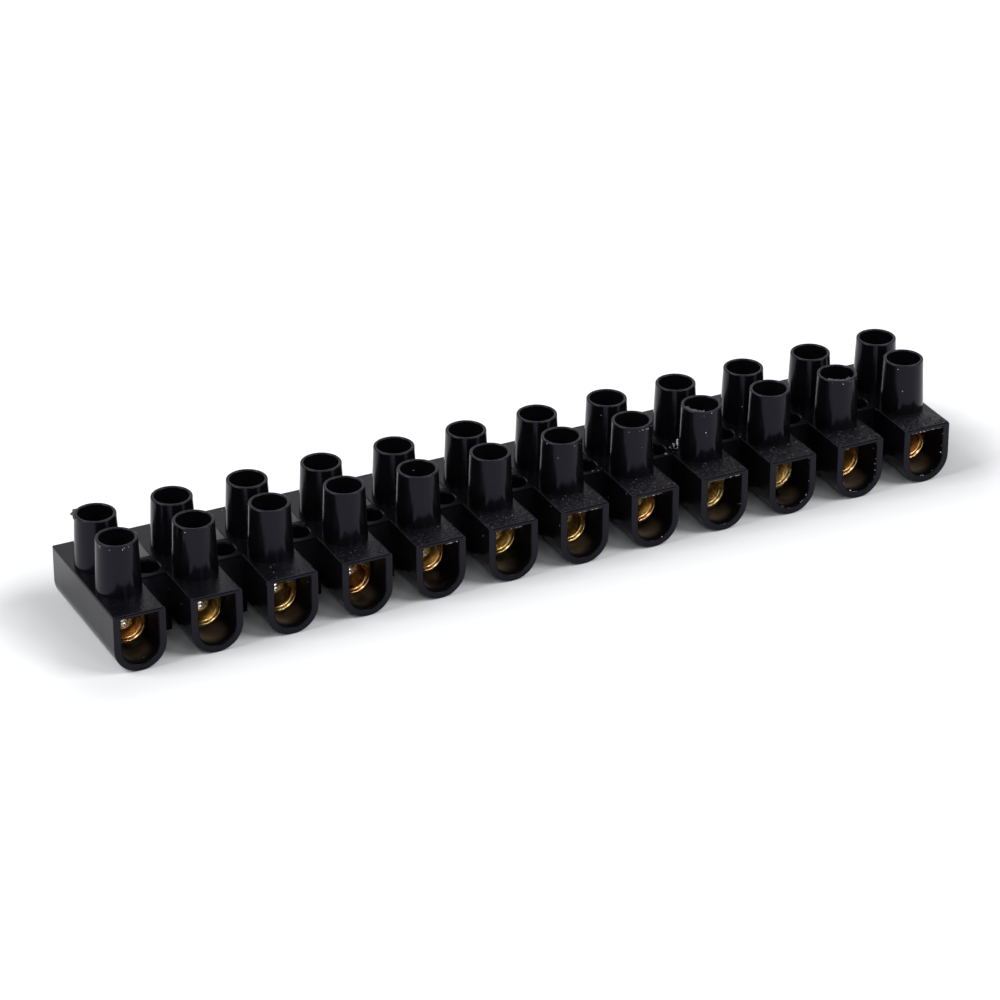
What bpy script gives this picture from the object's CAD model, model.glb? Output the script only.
"""Looks of a screw terminal strip: moulded poles, brass inserts, threaded clamp screws and a plain studio.

Sizes in the classes are millimetres in the strip's own frame. Blender's meshes are metres.
"""

import logging
import math
import random
from contextlib import contextmanager
from dataclasses import dataclass
from enum import Enum
from typing import Callable, Iterator, Sequence, Union

import bmesh
import bpy
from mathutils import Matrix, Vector


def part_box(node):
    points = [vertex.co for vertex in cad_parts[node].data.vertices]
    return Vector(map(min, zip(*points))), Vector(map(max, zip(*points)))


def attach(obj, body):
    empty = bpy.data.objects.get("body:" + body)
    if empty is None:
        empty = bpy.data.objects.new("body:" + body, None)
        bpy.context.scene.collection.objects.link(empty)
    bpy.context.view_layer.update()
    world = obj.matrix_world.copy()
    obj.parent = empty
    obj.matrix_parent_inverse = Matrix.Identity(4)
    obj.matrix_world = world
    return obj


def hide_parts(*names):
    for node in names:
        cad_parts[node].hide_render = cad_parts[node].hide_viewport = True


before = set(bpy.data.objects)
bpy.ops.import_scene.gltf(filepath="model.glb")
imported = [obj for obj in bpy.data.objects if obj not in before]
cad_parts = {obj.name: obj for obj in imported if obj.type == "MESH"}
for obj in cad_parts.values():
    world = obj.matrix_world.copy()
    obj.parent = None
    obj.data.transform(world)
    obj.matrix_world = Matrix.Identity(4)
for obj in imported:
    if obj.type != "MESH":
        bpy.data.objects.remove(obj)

log = logging.getLogger("terminal_strip")

# One millimetre in metres
MM = 0.001
# Places closer than this count as one, in millimetres
TOUCH = 0.001
# Margin that tells two levels of a mesh apart, in millimetres
NEAR = 0.01
# Share of a face's normal along an axis, above which the face points that way
FACING = 0.9
# Largest turn of a scrap that is laid at random, in radians
TURN = 6.28

Pair = tuple[float, float]
Triple = tuple[float, float, float]
Colour = tuple[float, float, float, float]
OnPole = tuple[int, float, float]
Count = tuple[int, int]
Term = Union[float, "Wire"]
Piece = bpy.types.Object
EdgeTest = Callable[[bmesh.types.BMEdge], bool]


class Pick(Enum):
    """What a selection in edit mode is made of."""

    VERT = "verts"
    EDGE = "edges"
    FACE = "faces"


class Cut(Enum):
    """How one solid acts on another."""

    UNION = "UNION"
    DIFFERENCE = "DIFFERENCE"


class Side(Enum):
    """The two rows of chimneys, by the sign of their Y."""

    FRONT = -1
    BACK = 1


class Slot(Enum):
    """Finishes that the record names."""

    PLASTIC = "housing_plastic"
    BRASS = "insert_brass"
    STEEL = "screw_steel"


class Bench:
    """Modelling steps made with Blender's own operators."""

    @staticmethod
    def clear() -> None:
        """Leaves edit mode and deselects every object."""
        if bpy.context.mode != "OBJECT":
            bpy.ops.object.mode_set(mode="OBJECT")
        bpy.ops.object.select_all(action="DESELECT")

    @classmethod
    def take(cls, *objs: Piece) -> None:
        """Selects these objects alone.

        Args:
            objs: The objects, of which the first becomes active.
        """
        cls.clear()
        for obj in objs:
            obj.select_set(True)
        bpy.context.view_layer.objects.active = objs[0]

    @classmethod
    @contextmanager
    def edit(cls, obj: Piece) -> Iterator[None]:
        """Opens an object in edit mode with nothing selected in it, and closes it again.

        Args:
            obj: The mesh object to work on.
        """
        cls.take(obj)
        bpy.ops.object.mode_set(mode="EDIT")
        bpy.ops.mesh.select_all(action="DESELECT")
        yield
        bpy.ops.object.mode_set(mode="OBJECT")

    @staticmethod
    def pick(obj: Piece, kind: Pick, test: Callable[..., bool]) -> None:
        """Selects the elements of an open mesh that pass a test, and no others.

        Args:
            obj: The object that is open in edit mode.
            kind: Vertices, edges or faces.
            test: Takes one bmesh element and says whether it is chosen.
        """
        bpy.ops.mesh.select_mode(type=kind.name)
        bpy.ops.mesh.select_all(action="DESELECT")
        mesh = bmesh.from_edit_mesh(obj.data)
        for element in [e for e in getattr(mesh, kind.value) if test(e)]:
            element.select_set(True)
        bmesh.update_edit_mesh(obj.data)

    @staticmethod
    def span(edge: bmesh.types.BMEdge) -> Vector:
        """How far an edge runs along each axis, in millimetres."""
        a, b = edge.verts
        return Vector([abs(d) / MM for d in a.co - b.co])

    @classmethod
    def end_edges(cls, half: float) -> EdgeTest:
        """A test for the edges round both Y ends of a bar that reaches so far each way."""
        return lambda e: cls.span(e).y < TOUCH and all(
            abs(abs(v.co.y) / MM - half) < TOUCH for v in e.verts
        )

    @classmethod
    def settle(cls, obj: Piece, name: str) -> Piece:
        """Names an object and puts its place, turn and size into its mesh.

        Args:
            obj: The object to settle.
            name: Its new name.

        Returns:
            The same object, at the origin.
        """
        cls.take(obj)
        bpy.ops.object.transform_apply(location=True, rotation=True, scale=True)
        obj.name = obj.data.name = name
        return obj

    @classmethod
    def recalculate(cls, obj: Piece, weld: float = TOUCH) -> None:
        """Merges doubles and turns all faces outwards.

        Args:
            obj: The object to work on.
            weld: Distance below which two vertices are merged.
        """
        with cls.edit(obj):
            bpy.ops.mesh.select_all(action="SELECT")
            bpy.ops.mesh.remove_doubles(threshold=weld * MM)
            bpy.ops.mesh.normals_make_consistent(inside=False)

    @classmethod
    def block(cls, name: str, size: Triple, at: Triple) -> Piece:
        """Makes a box, the start of a web or a cutter.

        Args:
            name: The object's name.
            size: Its length along each axis.
            at: Its middle.

        Returns:
            The new object.
        """
        cls.clear()
        bpy.ops.mesh.primitive_cube_add(size=1, location=[v * MM for v in at])
        bpy.context.object.scale = [v * MM for v in size]
        return cls.settle(bpy.context.object, name)

    @classmethod
    def rib(cls, name: str, start: Vector, end: Vector) -> Piece:
        """Makes a single edge, the start of a spin.

        Args:
            name: The object's name.
            start: One end, in metres.
            end: The other end, in metres.

        Returns:
            The new object.
        """
        cls.clear()
        bpy.ops.mesh.primitive_plane_add(size=1)
        obj = cls.settle(bpy.context.object, name)
        with cls.edit(obj):
            cls.pick(obj, Pick.VERT, lambda v: v.co.y > 0)
            bpy.ops.mesh.delete(type="VERT")
        for v in obj.data.vertices:
            v.co = start if v.co.x < 0 else end
        return obj

    @classmethod
    def lathe(cls, name: str, rings: Sequence[Pair], sides: int) -> Piece:
        """Turns a closed solid about Z by extruding one ring after another.

        Args:
            name: The object's name.
            rings: Radius and height of each ring, from the lowest up.
            sides: Number of sides of the turned form.

        Returns:
            The new object.
        """
        cls.clear()
        radius, height = rings[0]
        bpy.ops.mesh.primitive_circle_add(
            vertices=sides, radius=radius * MM, fill_type="NGON", location=(0, 0, height * MM)
        )
        obj = cls.settle(bpy.context.object, name)
        with cls.edit(obj):
            bpy.ops.mesh.select_all(action="SELECT")
            for r, z in rings[1:]:
                step = (0, 0, (z - height) * MM)
                bpy.ops.mesh.extrude_region_move(TRANSFORM_OT_translate={"value": step})
                grow = r / radius
                bpy.ops.transform.resize(value=(grow, grow, 1), center_override=(0, 0, z * MM))
                radius, height = r, z
        cls.recalculate(obj)
        return obj

    @classmethod
    def u_bar(cls, name: str, size: Triple, foot: float, sides: int) -> Piece:
        """Makes a bar along Y with a round bottom and a flat top.

        Args:
            name: The object's name.
            size: Width, which is also the round bottom's diameter, length along Y, and height.
            foot: Height of its lowest line.
            sides: Number of sides of the whole circle that its bottom is half of.

        Returns:
            The new object, centred on X and Y.
        """
        cls.clear()
        wide, long, high = size
        middle = foot + wide / 2
        bpy.ops.mesh.primitive_circle_add(
            vertices=sides,
            radius=wide / 2 * MM,
            location=(0, -long / 2 * MM, middle * MM),
            rotation=(math.pi / 2, math.pi / 2, 0),
        )
        obj = cls.settle(bpy.context.object, name)
        with cls.edit(obj):
            cls.pick(obj, Pick.VERT, lambda v: v.co.z > (middle + NEAR) * MM)
            bpy.ops.mesh.delete(type="VERT")
            cls.pick(obj, Pick.VERT, lambda v: v.co.z > (middle - NEAR) * MM)
            rise = (0, 0, (high - wide / 2) * MM)
            bpy.ops.mesh.extrude_vertices_move(TRANSFORM_OT_translate={"value": rise})
            bpy.ops.mesh.select_all(action="SELECT")
            bpy.ops.mesh.edge_face_add()
            bpy.ops.mesh.extrude_region_move(TRANSFORM_OT_translate={"value": (0, long * MM, 0)})
        cls.recalculate(obj)
        return obj

    @classmethod
    def flare(cls, obj: Piece, size: Pair, lip: float, beyond: float) -> None:
        """Widens both Y ends of a cutting bar, so that the mouths it cuts have round edges.

        Args:
            obj: The bar, whose end faces stand one lip inside the mouths.
            size: Width and height of the bar.
            lip: Radius of the round edge.
            beyond: How far the bar runs on past the mouths.
        """
        w, h = size
        levels = [v.co.z for v in obj.data.vertices]
        middle = (min(levels) + max(levels)) / 2
        with cls.edit(obj):
            for side in Side:
                cls.pick(obj, Pick.FACE, lambda f: f.normal.y * side.value > FACING)
                reach, grown = 0.0, 0.0
                for turn in (30, 60, 90):
                    out = lip * math.sin(math.radians(turn))
                    wide = lip * (1 - math.cos(math.radians(turn)))
                    step = (0, side.value * (out - reach) * MM, 0)
                    bpy.ops.mesh.extrude_region_move(TRANSFORM_OT_translate={"value": step})
                    scale = ((w + 2 * wide) / (w + 2 * grown), 1, (h + 2 * wide) / (h + 2 * grown))
                    bpy.ops.transform.resize(value=scale, center_override=(0, 0, middle))
                    reach, grown = out, wide
                step = (0, side.value * beyond * MM, 0)
                bpy.ops.mesh.extrude_region_move(TRANSFORM_OT_translate={"value": step})

    @classmethod
    def soften(cls, obj: Piece, width: float, segments: int, test: EdgeTest) -> None:
        """Rounds the edges that pass a test.

        Args:
            obj: The object to work on.
            width: Width of the round edge.
            segments: Number of faces across it.
            test: Says whether an edge is rounded.
        """
        with cls.edit(obj):
            cls.pick(obj, Pick.EDGE, test)
            bpy.ops.mesh.bevel(offset=width * MM, segments=segments, profile=0.5, affect="EDGES")

    @classmethod
    def copy(
        cls, obj: Piece, name: str, at: Sequence[float], turn: float = 0.0, size: float = 1.0
    ) -> Piece:
        """Copies a piece with a mesh of its own.

        Args:
            obj: The piece that is modelled at the origin.
            name: The copy's name.
            at: Where the copy goes, in millimetres.
            turn: Its turn about its own upright axis, in radians.
            size: Its size next to the original's.

        Returns:
            The copy, with its place in its mesh.
        """
        cls.take(obj)
        bpy.ops.object.duplicate(linked=False)
        made = bpy.context.object
        made.location = Vector(at) * MM
        made.rotation_euler = (0, 0, turn)
        made.scale = (size, size, size)
        return cls.settle(made, name)

    @classmethod
    def join(cls, objs: Sequence[Piece], name: str) -> Piece:
        """Joins several objects into one.

        Args:
            objs: The objects, of which the first takes in the others.
            name: The joined object's name.

        Returns:
            The joined object.
        """
        cls.take(*objs)
        if len(objs) > 1:
            bpy.ops.object.join()
        objs[0].name = objs[0].data.name = name
        return objs[0]

    @classmethod
    def repeat(cls, obj: Piece, name: str, places: Sequence[Triple]) -> Piece:
        """Copies a piece to several places, joins the copies and removes the original.

        Args:
            obj: The piece that is modelled at the origin.
            name: The joined object's name.
            places: Where the copies go.

        Returns:
            The joined object.
        """
        made = cls.join([cls.copy(obj, f"{name}_{k}", at) for k, at in enumerate(places)], name)
        bpy.data.objects.remove(obj)
        return made

    @classmethod
    def apply(cls, obj: Piece, kind: str, settings: dict[str, object]) -> None:
        """Adds a modifier and applies it.

        Args:
            obj: The object to work on.
            kind: The modifier's type.
            settings: The modifier's settings by name.
        """
        step = obj.modifiers.new(kind.lower(), kind)
        for name, value in settings.items():
            setattr(step, name, value)
        cls.take(obj)
        bpy.ops.object.modifier_apply(modifier=step.name)

    @classmethod
    def carve(cls, obj: Piece, tool: Piece, cut: Cut) -> None:
        """Adds a tool's solid to an object or takes it away, and removes the tool."""
        cls.apply(obj, "BOOLEAN", {"operation": cut.value, "solver": "EXACT", "object": tool})
        bpy.data.objects.remove(tool)

    @classmethod
    def thicken(cls, obj: Piece, wall: float) -> None:
        """Gives an open sheet a wall, half of it to each side."""
        cls.apply(obj, "SOLIDIFY", {"thickness": wall * MM, "offset": 0.0})

    @classmethod
    def smooth(cls, obj: Piece, degrees: float) -> None:
        """Shades an object smooth, with its flat faces kept flat.

        Args:
            obj: The object to work on.
            degrees: Angle above which an edge stays sharp.
        """
        cls.take(obj)
        bpy.ops.object.shade_smooth_by_angle(angle=math.radians(degrees))
        cls.apply(obj, "WEIGHTED_NORMAL", {"keep_sharp": True})

    @staticmethod
    def paint(obj: Piece, material: bpy.types.Material) -> None:
        """Gives an object one finish all over."""
        obj.data.materials.clear()
        obj.data.materials.append(material)


class Wire:
    """One output of a shader node, ready for arithmetic."""

    def __init__(self, sheet: "Sheet", socket: bpy.types.NodeSocket) -> None:
        """Keeps the sheet and the socket."""
        self.sheet = sheet
        self.socket = socket

    def out(self, name: str) -> "Wire":
        """Another output of the same node."""
        return Wire(self.sheet, self.socket.node.outputs[name])

    def maths(self, operation: str, *terms: Term) -> "Wire":
        """Adds one Math node."""
        return self.sheet.node("ShaderNodeMath", {"operation": operation}, dict(enumerate(terms)))

    def __add__(self, other: Term) -> "Wire":
        """Sum of this and another value."""
        return self.maths("ADD", self, other)

    __radd__ = __add__

    def __mul__(self, other: Term) -> "Wire":
        """Product of this and another value."""
        return self.maths("MULTIPLY", self, other)

    __rmul__ = __mul__

    def __sub__(self, other: Term) -> "Wire":
        """This value less another."""
        return self.maths("SUBTRACT", self, other)

    def __rsub__(self, other: float) -> "Wire":
        """A number less this value."""
        return self.maths("SUBTRACT", other, self)

    def __mod__(self, other: float) -> "Wire":
        """This value wrapped into 0 to other."""
        return self.maths("WRAP", self, other, 0.0)

    def __abs__(self) -> "Wire":
        """This value without its sign."""
        return self.maths("ABSOLUTE", self)

    def __gt__(self, other: float) -> "Wire":
        """1 where this value is above a number, else 0."""
        return self.maths("GREATER_THAN", self, other)

    def __lt__(self, other: float) -> "Wire":
        """1 where this value is below a number, else 0."""
        return self.maths("LESS_THAN", self, other)

    def within(self, low: float, high: float) -> "Wire":
        """1 where this value is between two numbers, else 0."""
        return (self > low) * (self < high)

    def ramp(self, low: float, high: float) -> "Wire":
        """Smooth rise from 0 at low to 1 at high."""
        inputs = {"Value": self, "From Min": low, "From Max": high}
        return self.sheet.node("ShaderNodeMapRange", {"interpolation_type": "SMOOTHSTEP"}, inputs)


class Sheet:
    """The node tree of one material or of the world."""

    def __init__(self, tree: bpy.types.NodeTree) -> None:
        """Starts from an empty tree."""
        self.tree = tree
        tree.nodes.clear()

    def node(
        self,
        kind: str,
        settings: dict[str, object] | None = None,
        inputs: dict[Union[int, str], object] | None = None,
        output: Union[int, str] = 0,
    ) -> Wire:
        """Adds one node.

        Args:
            kind: The node's type.
            settings: Its own settings, which are set first.
            inputs: A value or a wire for each socket, by name or number.
            output: The output that is wanted.

        Returns:
            That output.
        """
        made = self.tree.nodes.new(kind)
        for name, value in (settings or {}).items():
            setattr(made, name, value)
        for key, value in (inputs or {}).items():
            if isinstance(value, Wire):
                self.tree.links.new(value.socket, made.inputs[key])
            else:
                made.inputs[key].default_value = value
        return Wire(self, made.outputs[output])

    def mix(self, share: Term, a: Union[Colour, Wire], b: Union[Colour, Wire]) -> Wire:
        """Mixes two colours: a where share is 0, b where it is 1."""
        return self.node("ShaderNodeMix", {"data_type": "RGBA"}, {0: share, 6: a, 7: b}, 2)

    def place(self) -> Wire:
        """The strip's own coordinates, in millimetres."""
        metres = self.node("ShaderNodeTexCoord", output="Object")
        return self.node("ShaderNodeVectorMath", {"operation": "SCALE"}, {0: metres, "Scale": 1 / MM})

    def axes(self, at: Wire) -> tuple[Wire, Wire, Wire]:
        """The three numbers of a place or a colour, one by one."""
        x = self.node("ShaderNodeSeparateXYZ", {}, {0: at})
        return x, x.out("Y"), x.out("Z")

    def noise(self, at: Wire, scale: float, detail: float) -> Wire:
        """Noise of so many waves to the millimetre."""
        return self.node("ShaderNodeTexNoise", {}, {"Vector": at, "Scale": scale, "Detail": detail})

    def bump(self, height: Wire, depth: float = 1.0) -> Wire:
        """Turns heights into a surface; depth is what a height of 1 stands for, in millimetres."""
        return self.node("ShaderNodeBump", {}, {"Height": height, "Distance": depth * MM, "Strength": 1.0})

    def principled(self, inputs: dict[str, object]) -> Wire:
        """Adds a shader with a value or a wire for each named socket."""
        return self.node("ShaderNodeBsdfPrincipled", {}, inputs)

    def surface(self, shader: Wire, end: str = "ShaderNodeOutputMaterial") -> None:
        """Ends the tree in a surface shader."""
        made = self.tree.nodes.new(end)
        self.tree.links.new(shader.socket, made.inputs["Surface"])


def new_sheet(name: str) -> tuple[bpy.types.Material, Sheet]:
    """Makes a material with an empty node tree.

    Args:
        name: The material's name.

    Returns:
        The material and its sheet.
    """
    material = bpy.data.materials.new(name)
    material.use_nodes = True
    return material, Sheet(material.node_tree)


@dataclass(frozen=True)
class MouldedBlack:
    """Glossy black moulding with flow marks, dull tunnels, sand at the wire entries and a little dust.

    A noise is its waves to the millimetre and its detail. A pair that ends in marks, patch, from, x or y
    is a ramp: where it starts and where it is full. Edge and band are heights counted from the deck.
    """

    deep: Colour = (0.0020, 0.0020, 0.0025, 1)
    pale: Colour = (0.0040, 0.0040, 0.0050, 1)
    sand: Colour = (0.055, 0.054, 0.057, 1)
    dust: Colour = (0.34, 0.34, 0.36, 1)
    sheen: Colour = (0.76, 0.74, 1.0, 1)
    tunnel_dust: Colour = (0.115, 0.082, 0.054, 1)
    ior: float = 1.5
    specular: float = 0.195
    tunnel_specular: float = 0.02
    gloss: float = 0.145
    flow_rough: float = 0.07
    drag_rough: float = 0.06
    flat_rough: float = 0.06
    deck_rough: float = 0.08
    web_rough: float = 0.2
    speck_rough: float = 0.3
    tunnel_rough: float = 0.5
    tunnel_flow_rough: float = 0.1
    web_dull: float = 0.45
    mouth_dull: float = 0.7
    flow_noise: Pair = (0.22, 3.0)
    flow_marks: Pair = (0.35, 0.7)
    wave_noise: Pair = (0.5, 1.0)
    drag_noise: Pair = (1.8, 2.0)
    drag_marks: Pair = (0.45, 0.7)
    drag_stretch: Triple = (1.0, 1.0, 0.12)
    grain_noise: Pair = (2.4, 4.0)
    grain_marks: Pair = (0.36, 0.64)
    grit_noise: Pair = (5.0, 2.0)
    grit_marks: Pair = (0.58, 0.68)
    speck_scale: float = 0.5
    speck_size: float = 0.04
    speck_chance: float = 0.6
    swept_from: Pair = (2.3, 1.0)
    swept_y: Pair = (9.4, 7.8)
    swept_patch: Pair = (0.3, 0.6)
    sand_y: Pair = (-5.6, -7.8)
    sand_x: Pair = (-45.0, 5.0)
    sand_least: float = 0.15
    poles: int = 12
    pitch: float = 10.0
    pole_w: float = 6.8
    tunnel_r: float = 2.43
    tunnel_r_margin: float = 0.06
    tunnel_axis_z: float = 3.3
    tunnel_roof_z: float = 7.5
    tunnel_roof_margin: float = 0.03
    tunnel_end_y: float = 10.0
    deck_z: float = 8.1
    deck_edge: Pair = (-0.12, -0.04)
    flat_band: Pair = (-0.05, 0.02)
    mouth_band: Pair = (-0.3, -0.015)
    upper_band: Pair = (-1.0, 0.5)
    wave_depth: float = 0.026
    side_wave_depth: float = 0.008
    sand_depth: float = 0.07
    drag_depth: float = 0.002

    def across(self, x: Wire) -> Wire:
        """Place along the row, counted from the middle of the nearest pole."""
        return (x + self.poles / 2 * self.pitch) % self.pitch - self.pitch / 2

    def from_deck(self, levels: Pair) -> Pair:
        """Heights of two levels that are counted from the deck."""
        return self.deck_z + levels[0], self.deck_z + levels[1]

    def tunnel(self, x: Wire, y: Wire, z: Wire) -> Wire:
        """Finds the walls of the wire tunnels.

        Args:
            x: Place along the row.
            y: Place along the wires.
            z: Height.

        Returns:
            1 on the walls, else 0.
        """
        across = self.across(x)
        below = z.maths("MINIMUM", z - self.tunnel_axis_z, 0.0)
        reach = z.maths("SQRT", across * across + below * below)
        round_wall = reach < self.tunnel_r + self.tunnel_r_margin
        under_roof = z < self.tunnel_roof_z + self.tunnel_roof_margin
        return round_wall * under_roof * (abs(y) < self.tunnel_end_y)

    def deck(self, x: Wire, y: Wire, z: Wire) -> Wire:
        """Finds the sandy part of the decks.

        Args:
            x: Place along the row.
            y: Place along the wires.
            z: Height.

        Returns:
            A rise to 1 on the decks towards the front wire entries, most at the right end of the row.
        """
        level = z.ramp(*self.from_deck(self.deck_edge)) * (z < self.deck_z + self.flat_band[1])
        along = self.sand_least + (1 - self.sand_least) * x.ramp(*self.sand_x)
        return level * y.ramp(*self.sand_y) * along

    def speck(self, sheet: Sheet, at: Wire) -> Wire:
        """Scatters a few specks of dust.

        Args:
            sheet: Where the nodes go.
            at: Place on the strip.

        Returns:
            1 on a speck, else 0.
        """
        inputs = {"Vector": at, "Scale": self.speck_scale}
        cells = sheet.node("ShaderNodeTexVoronoi", {}, inputs, "Distance")
        chance = sheet.axes(cells.out("Color"))[0]
        return (cells < self.speck_size) * (chance > self.speck_chance)

    def material(self) -> bpy.types.Material:
        """Builds the material.

        Returns:
            The material.
        """
        material, sheet = new_sheet("moulded_black")
        at = sheet.place()
        x, y, z = sheet.axes(at)
        stretch = {0: at, 1: self.drag_stretch}
        upright = sheet.node("ShaderNodeVectorMath", {"operation": "MULTIPLY"}, stretch)
        flow, wave = sheet.noise(at, *self.flow_noise), sheet.noise(at, *self.wave_noise)
        drag = sheet.noise(upright, *self.drag_noise)
        grain, grit = sheet.noise(at, *self.grain_noise), sheet.noise(at, *self.grit_noise)
        deck, tunnel, speck = self.deck(x, y, z), self.tunnel(x, y, z), self.speck(sheet, at)
        flat = z.within(*self.from_deck(self.flat_band))
        gap = abs(self.across(x)) > self.pole_w / 2
        web, mouth = flat * gap, gap * z.within(*self.from_deck(self.mouth_band))

        floor = z.ramp(*self.swept_from) * abs(y).ramp(*self.swept_y)
        swept = tunnel * floor * flow.ramp(*self.swept_patch)
        base = sheet.mix(flow, self.deep, self.pale)
        base = sheet.mix(grit.ramp(*self.grit_marks) * deck, base, self.sand)
        base = sheet.mix(swept, base, self.tunnel_dust)
        base = sheet.mix(speck, base, self.dust)

        outside = self.gloss + self.flow_rough * flow.ramp(*self.flow_marks)
        outside = outside + self.drag_rough * drag.ramp(*self.drag_marks) + self.flat_rough * flat
        outside = outside + self.deck_rough * deck + self.web_rough * web + self.speck_rough * speck
        inside = self.tunnel_rough + self.tunnel_flow_rough * flow

        upper = z.ramp(*self.from_deck(self.upper_band))
        swell = self.side_wave_depth + (self.wave_depth - self.side_wave_depth) * upper
        sandy = self.sand_depth * (grain.ramp(*self.grain_marks) * deck)
        normal = sheet.bump(swell * wave + sandy + self.drag_depth * drag)

        skin, lining = (
            sheet.principled(
                {
                    "Base Color": base,
                    "Roughness": rough,
                    "IOR": self.ior,
                    "Specular IOR Level": level,
                    "Specular Tint": self.sheen,
                    "Normal": normal,
                }
            )
            for rough, level in ((outside, self.specular), (inside, self.tunnel_specular))
        )
        dull = tunnel + self.web_dull * web + self.mouth_dull * mouth
        sheet.surface(sheet.node("ShaderNodeMixShader", {}, {0: dull, 1: skin, 2: lining}))
        return material


@dataclass(frozen=True)
class PaleFlash:
    """Thin plastic left by the mould: black, with grey patches where it lets light through."""

    name: str
    patch: Pair = (0.5, 0.66)
    light: Colour = (0.62, 0.62, 0.64, 1)
    dark: Colour = (0.004, 0.004, 0.005, 1)
    patch_noise: Pair = (2.3, 5.0)
    rough: float = 0.18
    patch_rough: float = 0.2
    bump_noise: Pair = (6.0, 2.0)
    bump_depth: float = 0.02

    def material(self) -> bpy.types.Material:
        """Builds the material.

        Returns:
            The material.
        """
        material, sheet = new_sheet(self.name)
        at = sheet.place()
        patch = sheet.noise(at, *self.patch_noise)
        shader = sheet.principled(
            {
                "Base Color": sheet.mix(patch.ramp(*self.patch), self.dark, self.light),
                "Roughness": self.rough + self.patch_rough * patch,
                "Normal": sheet.bump(sheet.noise(at, *self.bump_noise), self.bump_depth),
            }
        )
        sheet.surface(shader)
        return material


@dataclass(frozen=True)
class DrawnBrass:
    """Brass of the inserts: orange or yellow by turns, with copper stains, and darker deep in the bore.

    The places of warm, rosy and gritty inserts are along the row. Ramps and noises are as on the moulding.
    """

    orange: Colour = (0.88, 0.52, 0.23, 1)
    yellow: Colour = (0.80, 0.58, 0.24, 1)
    copper: Colour = (0.56, 0.22, 0.08, 1)
    amber: Colour = (0.56, 0.30, 0.06, 1)
    olive: Colour = (0.42, 0.285, 0.06, 1)
    pitted: Colour = (0.10, 0.06, 0.02, 1)
    pitch: float = 10.0
    warm: tuple[float, ...] = (-55.0, -25.0, 55.0)
    rosy: tuple[float, ...] = (-15.0, 15.0, 45.0)
    gritty: tuple[float, ...] = (25.0, 35.0)
    depth_y: Pair = (5.85, 3.9)
    ring_y: Pair = (5.5, 5.75)
    cloud_noise: Pair = (0.9, 3.0)
    cloud_marks: Pair = (0.45, 0.75)
    grit_noise: Pair = (3.0, 3.0)
    grit_marks: Pair = (0.5, 0.6)
    stain_noise: Pair = (1.7, 3.0)
    stain_marks: Pair = (0.5, 0.68)
    stain_share: float = 0.5
    depth_share: float = 0.8
    cloud_share: float = 0.2
    pitted_share: float = 0.7
    turned_scale: float = 1.3
    turned_blur: float = 2.0
    turned_depth: float = 0.004
    cloud_depth: float = 0.006
    grit_depth: float = 0.14
    rough: float = 0.11
    cloud_rough: float = 0.18
    grit_rough: float = 0.08
    depth_rough: float = 0.16

    def among(self, x: Wire, places: Sequence[float]) -> Wire:
        """1 on the inserts that stand at these places along the row, else 0."""
        masks = [abs(x - place) < self.pitch / 2 for place in places]
        return sum(masks[1:], masks[0])

    def material(self) -> bpy.types.Material:
        """Builds the material.

        Returns:
            The material.
        """
        material, sheet = new_sheet("drawn_brass")
        at = sheet.place()
        x, y, _ = sheet.axes(at)
        depth, ring = abs(y).ramp(*self.depth_y), abs(y).ramp(*self.ring_y)
        cloud, grit = sheet.noise(at, *self.cloud_noise), sheet.noise(at, *self.grit_noise)
        stain = sheet.noise(at, *self.stain_noise)
        warm, rosy, cast = (self.among(x, places) for places in (self.warm, self.rosy, self.gritty))
        blur = self.turned_blur
        turned = sheet.node(
            "ShaderNodeTexWave",
            {"wave_type": "BANDS", "bands_direction": "Y"},
            {"Vector": at, "Scale": self.turned_scale, "Distortion": blur, "Detail": blur},
        )
        base = sheet.mix(warm + rosy * ring, self.yellow, self.orange)
        base = sheet.mix(stain.ramp(*self.stain_marks) * self.stain_share, base, self.copper)
        shade = self.depth_share * depth + self.cloud_share * cloud.ramp(*self.cloud_marks)
        base = sheet.mix(shade, base, sheet.mix(warm, self.olive, self.amber))
        base = sheet.mix(self.pitted_share * (cast * grit.ramp(*self.grit_marks)), base, self.pitted)
        height = self.turned_depth * turned + self.cloud_depth * cloud
        height = height + self.grit_depth * (cast * grit * depth)
        rough = self.rough + self.cloud_rough * cloud + self.grit_rough * cast + self.depth_rough * depth
        shader = sheet.principled(
            {"Base Color": base, "Metallic": 1.0, "Roughness": rough, "Normal": sheet.bump(height)}
        )
        sheet.surface(shader)
        return material


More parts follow.
